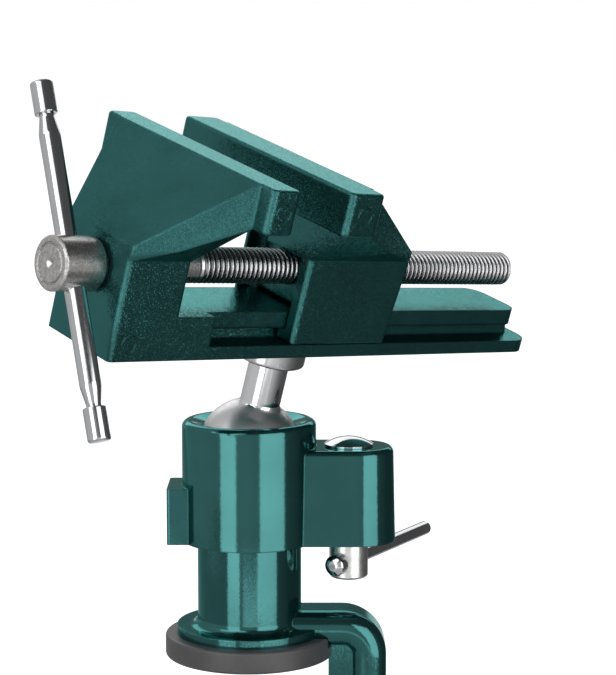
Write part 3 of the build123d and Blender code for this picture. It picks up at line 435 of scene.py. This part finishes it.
def lathe_steel(name, base, dark, smooth, rough, smooth_from, ring):
    """Turned steel, rough below a height on its axis and polished above it.

    The eye sees faint rings round the axis, finest on the polished part, and rub
    marks in soft patches on the rough part.
    """
    material, tree, shader, place = new_material(name)
    turned_at = add(tree, "Attribute", attribute_name="turned_place").outputs["Vector"]
    rings = add(tree, "TexNoise", {"Vector": turned_at, "Scale": 1 / (ring * MM), "Detail": 3.0})
    height = add(tree, "SeparateXYZ", {0: turned_at}).outputs["Z"]
    polish = add(tree, "MapRange", {"Value": height,
                                    "From Min": (smooth_from - POLISH_BLEND) * MM,
                                    "From Max": (smooth_from + POLISH_BLEND) * MM})
    rubbed = add(tree, "TexNoise", {"Vector": place, "Scale": 1 / (RUB_PATCH * MM),
                                    "Detail": 5.0, "Distortion": 0.6})
    worn = add(tree, "MapRange", {"Value": polish.outputs["Result"], "To Min": 1.0,
                                  "To Max": RUB_LEFT})
    wear = add(tree, "Math", {0: rubbed.outputs["Fac"], 1: worn.outputs["Result"]},
               operation="MULTIPLY")
    body = add(tree, "Mix", {0: wear.outputs[0], 6: linear(base), 7: linear(dark)},
               data_type="RGBA")
    tree.links.new(body.outputs[2], shader.inputs["Base Color"])
    gloss = add(tree, "MapRange", {"Value": polish.outputs["Result"], "To Min": rough,
                                   "To Max": smooth})
    uneven = add(tree, "Math", {0: wear.outputs[0], 1: RUB_ROUGHNESS,
                                2: gloss.outputs["Result"]}, operation="MULTIPLY_ADD")
    tree.links.new(uneven.outputs[0], shader.inputs["Roughness"])
    depth = add(tree, "MapRange", {"Value": polish.outputs["Result"],
                                   "To Min": RING_DEPTHS[0] * MM,
                                   "To Max": RING_DEPTHS[1] * MM})
    bump = add(tree, "Bump", {"Height": rings.outputs["Fac"],
                              "Distance": depth.outputs["Result"]})
    tree.links.new(bump.outputs["Normal"], shader.inputs["Normal"])
    shader.inputs["Metallic"].default_value = 1.0
    return material


ball_centre = np.array(joints["tilt"]["pos_m"]) / MM
stem_along = np.array(joints["head_turn"]["axis"])
screw_along = np.array(joints["jaw_slide"]["axis"])
stem_place = place_along(ball_centre, stem_along, screw_along)
stem_top = heights("ball_stud", stem_place)[1]
shoulder = heights("fixed_jaw", stem_place)[0] - SHOULDER_GAP
foot_angle = math.asin(STEM_FOOT_RADIUS / BALL_RADIUS)
foot_height = BALL_RADIUS * math.cos(foot_angle)
up_ball = np.linspace(np.pi, foot_angle, BALL_STEPS)
ball_profile = BALL_RADIUS * np.column_stack([np.sin(up_ball), np.cos(up_ball)])
ball_profile[0, 0] = 0
stem_profile = softened([
    (STEM_FOOT_RADIUS, foot_height, 0),
    (STEM_RADIUS, foot_height + STEM_FOOT_RISE, STEM_FOOT_ROUND),
    (STEM_RADIUS, shoulder, SHOULDER_ROUND), (STEM_END_RADIUS, shoulder, SHOULDER_ROUND),
    (STEM_END_RADIUS, stem_top, STEM_END_ROUND), (0, stem_top, 0)])
stud_steel = lathe_steel("lathe_turned_steel", base="#D8D9DB", dark="#BDBCBC", smooth=0.13,
                         rough=0.28, smooth_from=foot_height + POLISH_START, ring=0.22)
stud = turned_piece("ball_and_stem", [turn(np.concatenate([ball_profile, stem_profile[1:]]))],
                    stem_place, stud_steel)
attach(stud, "stud")
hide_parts("ball_stud")


# Stem lock ring: a round nut turned from steel, run up the stem and tight against
# the underside of the head. Its lower edge is rounded.

RING_BORE_GAP = 0.02
RING_BORE_ROUND = 0.1        # of the bore's upper edge
RING_EDGE_ROUND = 0.2        # of the bore's lower edge and the rim's upper one
RING_RIM_ROUND = 1.1         # of the rim's lower edge
(_, _, ring_bottom), (ring_radius, _, ring_top) = reach("stem_lock_ring", stem_place)
bore = STEM_RADIUS + RING_BORE_GAP
ring_corners = [(bore, ring_top, RING_BORE_ROUND), (bore, ring_bottom, RING_EDGE_ROUND),
                (ring_radius, ring_bottom, RING_RIM_ROUND),
                (ring_radius, ring_top, RING_EDGE_ROUND)]
ring_profile = softened([ring_corners[-1]] + ring_corners + [ring_corners[0]])[1:-1]
nut_steel = lathe_steel("lathe_turned_nut", base="#C9CACC", dark="#8D8C8C", smooth=0.17,
                        rough=0.2, smooth_from=0, ring=0.3)
lock_ring = turned_piece("stem_lock_nut", [turn(ring_profile)], stem_place, nut_steel,
                         shut=True)
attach(lock_ring, "stud")
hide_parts("stem_lock_ring")


# Fixed jaw: rail, screw block and jaw in one aluminium casting, enamelled over its
# sandy skin. The pins that pushed it out of the mould have left low rings on its flanks.

rough_enamel = enamel("enamel_on_sandy_casting", roughness=0.22, flake_tilt=0.26,
                      grain=0.7, grain_depth=0.012, edge=1.0, coat=0.04)
finish_node("fixed_jaw", rough_enamel)

PIN_RADIUS = 2.2
PIN_RING_HALF = 0.28         # half width of the raised ring
PIN_RING_RISE = 0.14
PIN_RING_SIDES = 40
PIN_TUBE_SIDES = 10
JAW_PIN_DROP = 5.8           # from the jaw's top down to the pins' centres
BLOCK_PIN_RISE = 4.6         # from the rail's underside up to the pins' centres
BLOCK_PIN_SETBACK = 5.3      # from the block's front face to the pins' centres
JAW_HALF = 35.0
BLOCK_HALF = 13.5
FIXED_BAR_SETBACK = 25.95    # from the block's front face to the middle of the jaw bar


def pin_rings(centres):
    """Low raised rings where ejector pins met the casting, on both of its flanks.

    Each is a flattened torus about the Y axis at (x, y, z) or at (x, -y, z): its ring
    has the pin's radius, its tube is wider along the face than it stands out of it,
    and half of it is sunk in the casting.
    """
    round_tube = np.arange(PIN_TUBE_SIDES) * 2 * np.pi / PIN_TUBE_SIDES
    profile = np.column_stack([PIN_RADIUS + PIN_RING_HALF * np.cos(round_tube),
                               PIN_RING_RISE * np.sin(round_tube)])
    flat = turn(profile, PIN_RING_SIDES)
    on_flank = np.stack([flat[..., 0], -flat[..., 2], flat[..., 1]], axis=-1)
    return [on_flank + (x, side * y, z) for x, y, z in centres for side in (-1, 1)]


(front, _, underside), (_, _, jaw_top) = reach("fixed_jaw", stem_place)
jaw_pin_z = jaw_top - JAW_PIN_DROP
fixed_pins = [(front + FIXED_BAR_SETBACK, JAW_HALF, jaw_pin_z),
              (front + BLOCK_PIN_SETBACK, BLOCK_HALF, underside + BLOCK_PIN_RISE)]
fixed_marks = turned_piece("fixed_jaw_pin_rings", pin_rings(fixed_pins), stem_place,
                           rough_enamel, shut=True, flats=False)
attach(fixed_marks, "head")


# Sliding jaw: a casting like the fixed jaw, hooked under both edges of the rail's
# slab and tapped for the lead screw.

finish_node("sliding_jaw", rough_enamel)

SLIDING_BAR_SETBACK = 5.65   # from the gripping face to the middle of the jaw bar
gripping_face = reach("sliding_jaw", stem_place)[0][0]
sliding_pins = [(gripping_face + SLIDING_BAR_SETBACK, JAW_HALF, jaw_pin_z)]
sliding_marks = turned_piece("sliding_jaw_pin_rings", pin_rings(sliding_pins), stem_place,
                             rough_enamel, shut=True, flats=False)
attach(sliding_marks, "sliding_jaw")


# Lead screw: a steel screw with a right-hand thread of 16 turns to the inch. It turns
# in the block on a plain journal, its thread runs out just behind the block, and its
# end is chamfered.

THREAD_RADIUS = 4.76
THREAD_PITCH = 1.5875
THREAD_DEPTH = 0.9
CREST_FLAT = 0.2             # share of the pitch that is flat at the crest
ROOT_FLAT = 0.14             # and at the root
THREAD_STEPS = 12            # rows of the mesh for each turn of the thread
ROOT_SHADE_BAND = (0.75, 0.25)      # shares of the depth between which the roots' painted shade thins out
TORN_GRAIN = 0.5             # mm, of the crests torn by the die
TORN_DEPTH = 0.01            # mm
TORN_ROUGHNESS = (0.16, 0.36)
BLOCK_LENGTH = 18.9          # of the casting's block along the screw
JOURNAL_RADIUS = 4.0
JOURNAL_OUT = 0.1            # how far the journal stands out behind the block
SHOULDER_STEP = 0.05         # height of the step from the journal up to the thread
SCREW_CHAMFER = 1.6
SMOOTH_RUN = 10.5            # plain stretch behind the block
RUN_OUT = 5.0                # stretch over which the thread deepens


def thread_steel(name, base, root_shade_colour):
    """Cut steel thread: bright, slightly torn crests over roots painted dark as shade."""
    material, tree, shader, place = new_material(name)
    turned_at = add(tree, "Attribute", attribute_name="turned_place").outputs["Vector"]
    radius = add(tree, "SeparateXYZ", {0: turned_at}).outputs["X"]
    # Painted shade: the base colour darkens from the crest down into the thread's root
    crest = add(tree, "MapRange", {"Value": radius,
                                   "From Min": (THREAD_RADIUS - ROOT_SHADE_BAND[0] * THREAD_DEPTH) * MM,
                                   "From Max": (THREAD_RADIUS - ROOT_SHADE_BAND[1] * THREAD_DEPTH) * MM})
    torn = add(tree, "TexNoise", {"Vector": place, "Scale": 1 / (TORN_GRAIN * MM),
                                  "Detail": 4.0})
    shaded = add(tree, "Mix", {0: crest.outputs["Result"], 6: linear(root_shade_colour),
                               7: linear(base)}, data_type="RGBA")
    tree.links.new(shaded.outputs[2], shader.inputs["Base Color"])
    gloss = add(tree, "MapRange", {"Value": torn.outputs["Fac"],
                                   "To Min": TORN_ROUGHNESS[0], "To Max": TORN_ROUGHNESS[1]})
    tree.links.new(gloss.outputs["Result"], shader.inputs["Roughness"])
    bump = add(tree, "Bump", {"Height": torn.outputs["Fac"], "Distance": TORN_DEPTH * MM})
    tree.links.new(bump.outputs["Normal"], shader.inputs["Normal"])
    shader.inputs["Metallic"].default_value = 1.0
    return material


def thread(start, end, plain, run_out, chamfer):
    """Points of a screw thread about z, from one height to another.

    With s the height and a the angle, the turn count is s / pitch - a / full turn, and
    its fraction f sets the tooth: flat at the crest, straight on the flanks, flat at
    the root. The radius is the crest's less the depth times (1 - tooth). Behind the
    plain stretch the depth grows from nothing over the run-out, and the chamfer cuts
    the end at 45 degrees.
    """
    rows = int((end - start) / THREAD_PITCH * THREAD_STEPS)
    s = np.linspace(start, end, rows)[:, None]
    angle = np.arange(SLIM_SIDES)[None, :] * 2 * np.pi / SLIM_SIDES
    f = np.mod(s / THREAD_PITCH - angle / (2 * np.pi), 1.0)
    tooth = np.clip((1 - ROOT_FLAT - np.abs(2 * f - 1)) / (1 - ROOT_FLAT - CREST_FLAT), 0, 1)
    deep = THREAD_DEPTH * np.clip((s - start - plain) / run_out, 0, 1)
    cone = THREAD_RADIUS - np.clip(s - (end - chamfer), 0, None)
    r = np.minimum(THREAD_RADIUS - deep * (1 - tooth), cone)
    return np.stack([r * np.cos(angle), r * np.sin(angle), s + 0 * angle], axis=-1)


def plain_rows(profile):
    """Rows of a plain turned end that join on to a thread, from (radius, height) points
    that are carried round the axis."""
    return turn(np.array(profile, float), SLIM_SIDES)


screw_middle = np.array(joints["screw_turn"]["pos_m"]) / MM
screw_place = place_along(screw_middle, screw_along, stem_along)
hub_rear = heights("screw_hub", screw_place)[1]
journal_end = heights("fixed_jaw", screw_place)[0] + BLOCK_LENGTH + JOURNAL_OUT
screw_end = heights("lead_screw", screw_place)[1]
# The thread's roots are painted dark, as the shade that falls between its turns
bright_thread = thread_steel("cut_steel_thread", base="#C4C4C6", root_shade_colour="#29292B")
lead_surface = np.concatenate([
    plain_rows([(0, hub_rear), (JOURNAL_RADIUS, hub_rear), (JOURNAL_RADIUS, journal_end)]),
    thread(journal_end + SHOULDER_STEP, screw_end, plain=SMOOTH_RUN, run_out=RUN_OUT,
           chamfer=SCREW_CHAMFER),
    plain_rows([(0, screw_end)])])
lead_screw = turned_piece("lead_screw_thread", [lead_surface], screw_place, bright_thread,
                          flats=False)
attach(lead_screw, "screw")
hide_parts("lead_screw")


# Screw hub and thrust washer: a nickel-plated steel cap on the screw's end, with a
# ring and a centre mark left by the lathe, and the steel washer it bears on.

nickel = metal("dull_nickel_plate", base="#C4C3C1", dark="#A3A19F", roughness=0.27,
               grain=0.16, grain_depth=0.008, edge=0.6)
finish_node("screw_hub", nickel)
finish_node("thrust_washer", blackened_steel)


# Handle: a chromed bar that slides in the hub's cross hole, tapered to a neck near
# each end, with a pressed cap on each neck that keeps it in.

BAR_RADIUS = 2.7
BAR_ROUND = 0.6              # where the bar starts to taper
NECK_RADIUS = 1.88
NECK_LENGTH = 0.9
NECK_ROUND = 0.2
CONE_LENGTH = 4.4
CAP_RADIUS = 2.88
CAP_LENGTH = 8.4
CAP_END_ROUND = 0.7
CAP_RIM_ROUND = 0.3
CAP_BORE_ROUND = 0.1
CAP_GAP = 0.02


def sliding_bar(name, bar_node, caps_node, place, body):
    """A T-bar and its two caps, from where the CAD nodes end along the bar.

    Both are profiles turned about the bar's axis. The bar is straight, with a cone
    down to a neck at each end. A cap is a cup round the neck, rounded at its closed
    end, and the profile of the upper one runs the other way so that it faces out.
    """
    start, end = heights(caps_node, place)
    tip_low, tip_high = heights(bar_node, place)
    low_cap, high_cap = start + CAP_LENGTH, end - CAP_LENGTH
    low_cone, high_cone = low_cap + NECK_LENGTH, high_cap - NECK_LENGTH
    profile = softened([
        (0, tip_low, 0), (NECK_RADIUS, tip_low, NECK_ROUND),
        (NECK_RADIUS, low_cone, NECK_ROUND), (BAR_RADIUS, low_cone + CONE_LENGTH, BAR_ROUND),
        (BAR_RADIUS, high_cone - CONE_LENGTH, BAR_ROUND), (NECK_RADIUS, high_cone, NECK_ROUND),
        (NECK_RADIUS, tip_high, NECK_ROUND), (0, tip_high, 0)])
    bar = turned_piece(name + "_bar_turned", [turn(profile, SLIM_SIDES)], place, chrome)
    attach(bar, body)
    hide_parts(bar_node)
    bore = NECK_RADIUS + CAP_GAP
    shells = []
    for outer, inner, bore_end in ((start, low_cap, tip_low - CAP_GAP),
                                   (end, high_cap, tip_high + CAP_GAP)):
        shell = softened([
            (0, outer, 0), (CAP_RADIUS, outer, CAP_END_ROUND),
            (CAP_RADIUS, inner, CAP_RIM_ROUND), (bore, inner, CAP_BORE_ROUND),
            (bore, bore_end, CAP_BORE_ROUND), (0, bore_end, 0)])
        shells.append(turn(shell if outer == start else shell[::-1], SLIM_SIDES))
    caps = turned_piece(name + "_caps_pressed", shells, place, chrome)
    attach(caps, body)
    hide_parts(caps_node)


handle_place = place_along(box_middle("screw_hub"), joints["handle_slide"]["axis"],
                           screw_along)
sliding_bar("handle", "handle_bar", "handle_caps", handle_place, "handle")


# Clamp screw: the same thread as the lead screw, up through the frame's boss. A neck
# below its tip holds the pressure pad, and its lower end is fixed in a hub.

CLAMP_TIP_RADIUS = 3.2
CLAMP_TIP_LENGTH = 5.0
CLAMP_TIP_CHAMFER = 0.5
CLAMP_NECK_RADIUS = 2.3
CLAMP_NECK_LENGTH = 1.6
CLAMP_RUN_OUT = 0.1          # shorter than a row of the mesh: full depth from the hub up
upright = place_along((0, 0, 0), (0, 0, 1), (1, 0, 0))
clamp_hub_top = heights("clamp_screw_hub", upright)[1]
clamp_top = heights("clamp_screw", upright)[1]
neck_top = clamp_top - CLAMP_TIP_LENGTH
thread_top = neck_top - CLAMP_NECK_LENGTH
clamp_surface = np.concatenate([
    plain_rows([(0, clamp_hub_top)]),
    thread(clamp_hub_top, thread_top, plain=0, run_out=CLAMP_RUN_OUT, chamfer=THREAD_DEPTH),
    plain_rows([(CLAMP_NECK_RADIUS, thread_top), (CLAMP_NECK_RADIUS, neck_top),
                (CLAMP_TIP_RADIUS, neck_top),
                (CLAMP_TIP_RADIUS, clamp_top - CLAMP_TIP_CHAMFER),
                (CLAMP_TIP_RADIUS - CLAMP_TIP_CHAMFER, clamp_top), (0, clamp_top)])])
clamp_screw = turned_piece("clamp_screw_thread", [clamp_surface], upright, bright_thread,
                           flats=False)
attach(clamp_screw, "clamp_screw")
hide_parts("clamp_screw")
finish_node("clamp_screw_hub", nickel)


# Clamp bar: a shorter chromed bar like the handle, with the same pressed caps. It
# slides in the cross hole of the clamp screw's hub.

clamp_bar_place = place_along(box_middle("clamp_screw_hub"),
                              joints["clamp_handle_slide"]["axis"], (0, 0, 1))
sliding_bar("clamp", "clamp_bar", "clamp_bar_caps", clamp_bar_place, "clamp_handle")


# Pressure pad: a zinc-plated plate and cup that turns on the clamp screw's tip, held
# by a blackened snap ring, with a ribbed rubber facing that meets the bench.

finish_node("pressure_pad", zinc)
finish_node("pad_snap_ring", blackened_steel)

RIB_SPACING = 2.2
RIB_DEPTH = 0.4
RIB_STEPS = 60               # points across all the ribs
RIM_WIDTH = 0.8              # from the facing's edge in to the ribs
RIM_DROP = 0.3               # from the facing's top down to its edge
RIM_ROUNDS = (0.1, 0.3)      # of the lower and the upper edge
(_, _, facing_bottom), (facing_radius, _, facing_top) = reach("pad_facing", upright)
across = np.linspace(0, facing_radius - RIM_WIDTH, RIB_STEPS)
ribs = facing_top - RIB_DEPTH * (1 - np.cos(2 * np.pi * across / RIB_SPACING)) / 2
edge_profile = softened([(0, facing_bottom, 0), (facing_radius, facing_bottom, RIM_ROUNDS[0]),
                         (facing_radius, facing_top - RIM_DROP, RIM_ROUNDS[1]),
                         (across[-1], ribs[-1], 0)])
facing_profile = np.concatenate([edge_profile, np.column_stack([across, ribs])[-2::-1]])
facing = turned_piece("pad_facing_ribbed", [turn(facing_profile)], upright, black_rubber)
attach(facing, "pad")
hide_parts("pad_facing")


# Studio: a pale floor, two upright soft boxes in front of the object with a white card
# lying low between them, one above the left box, and a weaker one behind and above.
# The walls are grey, darkest on the right, and the camera sees white in their place.

def white_rays(tree, behind):
    """1 for rays that see the white background: all from the camera, and reflected or
    transmitted ones where they meet the part of it that is behind the object."""
    path = add(tree, "LightPath")
    bounced = add(tree, "Math", {0: path.outputs["Is Glossy Ray"],
                                 1: path.outputs["Is Transmission Ray"]}, operation="MAXIMUM")
    masked = add(tree, "Math", {0: bounced.outputs[0], 1: behind}, operation="MULTIPLY")
    return add(tree, "Math", {0: path.outputs["Is Camera Ray"], 1: masked.outputs[0]},
               operation="MAXIMUM").outputs[0]


FLOOR_DROP = 0.028           # m below the object: room for the clamp screw's travel
# The floor ends close by on the right, where steep reflections then meet the dark wall
FLOOR_CORNERS = [(-0.7, -0.56), (0.18, -0.56), (0.18, 0.1), (1.2, 6.0), (-1.2, 6.0)]
FLOOR_COLOUR = "#D4D4D4"
FLOOR_LIFT = 0.95            # glow that rays to the background see
# Reflections see the background's white on a wedge of the floor behind the object. It
# sets in as y - slope |x| passes from one of the edge's values to the other, in m.
WEDGE_SLOPE = 3.0
WEDGE_EDGE = (0.1, 0.4)
lowest = box_at_load[0][2]
floor_z = lowest - FLOOR_DROP
floor_mesh = bpy.data.meshes.new("floor")
floor_mesh.from_pydata([(x, y, floor_z) for x, y in FLOOR_CORNERS], [],
                       [range(len(FLOOR_CORNERS))])
floor = bpy.data.objects.new("floor", floor_mesh)
bpy.context.scene.collection.objects.link(floor)
pale, tree, shader, place = new_material("pale_floor")
shader.inputs["Base Color"].default_value = linear(FLOOR_COLOUR)
shader.inputs["Roughness"].default_value = 1.0
shader.inputs["Specular IOR Level"].default_value = 0.0
spot = add(tree, "SeparateXYZ", {0: place})
aside = add(tree, "Math", {0: spot.outputs["X"]}, operation="ABSOLUTE")
wedge = add(tree, "Math", {0: aside.outputs[0], 1: -WEDGE_SLOPE, 2: spot.outputs["Y"]},
            operation="MULTIPLY_ADD")
behind = add(tree, "MapRange", {"Value": wedge.outputs[0], "From Min": WEDGE_EDGE[0],
                                "From Max": WEDGE_EDGE[1]})
lift = add(tree, "Math", {0: white_rays(tree, behind.outputs["Result"]), 1: FLOOR_LIFT},
           operation="MULTIPLY")
shader.inputs["Emission Color"].default_value = (1, 1, 1, 1)
tree.links.new(lift.outputs[0], shader.inputs["Emission Strength"])
floor_mesh.materials.append(pale)

# Grey levels round the walls: 0 and 1 are behind the object, 0.25 is on its left,
# 0.5 in front and 0.75 on its right. The upper walls go dark in front, and the
# ceiling is one level.
WALLS = [(0.0, 0.2), (0.1, 0.5), (0.25, 0.65), (0.38, 0.65), (0.5, 0.68), (0.62, 0.42),
         (0.7, 0.2), (0.78, 0.1), (0.9, 0.08), (0.96, 0.15), (1.0, 0.2)]
UPPER_WALLS = [(0.0, 0.25), (0.1, 0.55), (0.25, 0.75), (0.36, 0.7), (0.46, 0.16),
               (0.6, 0.1), (0.9, 0.08), (1.0, 0.25)]
CEILING = 0.3
# Where one part of the room blends into the next, as sines of the height above the
# horizon, and the far floor also by how nearly a direction points to the back
UPPER_WALLS_FROM = (0.3, 0.5)
CEILING_FROM = (0.86, 0.98)
FAR_FLOOR_BELOW = (0.075, 0.035)
FAR_FLOOR_BACK = (0.93, 0.98)


def grey(level):
    """A neutral colour."""
    return (level, level, level, 1)


world = bpy.data.worlds.new("studio")
bpy.context.scene.world = world
world.use_nodes = True
tree = world.node_tree
direction = add(tree, "SeparateXYZ", {"Vector": add(tree, "TexCoord").outputs["Generated"]})
toward = add(tree, "Math", {0: direction.outputs["Y"], 1: -1.0}, operation="MULTIPLY")
bearing = add(tree, "Math", {0: direction.outputs["X"], 1: toward.outputs[0]},
              operation="ARCTAN2")
around = add(tree, "MapRange", {"Value": bearing.outputs[0], "From Min": -math.pi,
                                "From Max": math.pi})
wall_greys = []
for levels in (WALLS, UPPER_WALLS):
    ramp = add(tree, "ValToRGB", {"Fac": around.outputs["Result"]})
    stops = ramp.color_ramp.elements
    stops.remove(stops[1])
    stops[0].color = grey(levels[0][1])
    for at, level in levels[1:]:
        stops.new(at).color = grey(level)
    wall_greys.append(ramp.outputs["Color"])
aloft = add(tree, "MapRange", {"Value": direction.outputs["Z"],
                               "From Min": UPPER_WALLS_FROM[0],
                               "From Max": UPPER_WALLS_FROM[1]})
walls = add(tree, "Mix", {0: aloft.outputs["Result"], 6: wall_greys[0], 7: wall_greys[1]},
            data_type="RGBA")
upward = add(tree, "MapRange", {"Value": direction.outputs["Z"],
                                "From Min": CEILING_FROM[0], "From Max": CEILING_FROM[1]})
room = add(tree, "Mix", {0: upward.outputs["Result"], 6: walls.outputs[2],
                         7: grey(CEILING)}, data_type="RGBA")
level_with_floor = add(tree, "MapRange", {"Value": direction.outputs["Z"],
                                          "From Min": FAR_FLOOR_BELOW[0],
                                          "From Max": FAR_FLOOR_BELOW[1]})
backward = add(tree, "MapRange", {"Value": direction.outputs["Y"],
                                  "From Min": FAR_FLOOR_BACK[0],
                                  "From Max": FAR_FLOOR_BACK[1]})
far_floor = add(tree, "Math", {0: level_with_floor.outputs["Result"],
                               1: backward.outputs["Result"]}, operation="MULTIPLY")
sky = add(tree, "Mix", {0: white_rays(tree, far_floor.outputs[0]), 6: room.outputs[2],
                        7: grey(1)}, data_type="RGBA")
tree.links.new(sky.outputs[2], tree.nodes["Background"].inputs["Color"])


def soft_box(name, azimuth, distance, height, width, length, radiance, tilt=0.0):
    """A rectangular lamp at an azimuth, in degrees right of the camera, at a distance
    and a height of its middle in m. It stands upright and faces the object's axis, its
    length up. The tilt leans it down, in degrees."""
    lamp = bpy.data.lights.new(name, "AREA")
    lamp.shape = "RECTANGLE"
    lamp.size = width
    lamp.size_y = length
    lamp.energy = radiance * math.pi * width * length
    holder = bpy.data.objects.new(name, lamp)
    turned = math.radians(azimuth)
    holder.location = (distance * math.sin(turned), -distance * math.cos(turned), height)
    holder.rotation_euler = (math.radians(90 - tilt), 0, turned)
    holder.visible_camera = False
    bpy.context.scene.collection.objects.link(holder)


CARD_RISE = 0.0015           # m above the object's lowest point
soft_box("left_soft_box", azimuth=-34, distance=0.5, height=0.115, width=0.24,
         length=0.49, radiance=2.3)
soft_box("upper_left_soft_box", azimuth=-40, distance=0.7, height=0.63, width=0.9,
         length=0.36, radiance=1.8, tilt=35)
soft_box("right_soft_box", azimuth=41, distance=0.5, height=0.115, width=0.4,
         length=0.49, radiance=2.3)
soft_box("back_soft_box", azimuth=180, distance=1.0, height=0.82, width=1.4,
         length=0.96, radiance=1.3)
soft_box("bounce_card", azimuth=4, distance=0.5, height=lowest + CARD_RISE, width=0.3,
         length=0.12, radiance=1.4, tilt=-90)

# Camera: in front of the object and a little above it, tipped slightly down
CAMERA_PLACE = (0.0160, -0.5859, 0.1644)   # m
CAMERA_DIP = 7.5             # degrees below level
LENS = 116.64                # mm
SENSOR_WIDTH = 36.0          # mm
CLIP_START = 0.01            # m, nearer than anything in view
camera = bpy.data.cameras.new("camera")
camera.lens = LENS
camera.sensor_width = SENSOR_WIDTH
camera.clip_start = CLIP_START
holder = bpy.data.objects.new("camera", camera)
holder.location = CAMERA_PLACE
holder.rotation_euler = (math.radians(90 - CAMERA_DIP), 0, 0)
bpy.context.scene.collection.objects.link(holder)
bpy.context.scene.camera = holder
bpy.context.scene.view_settings.view_transform = "Standard"
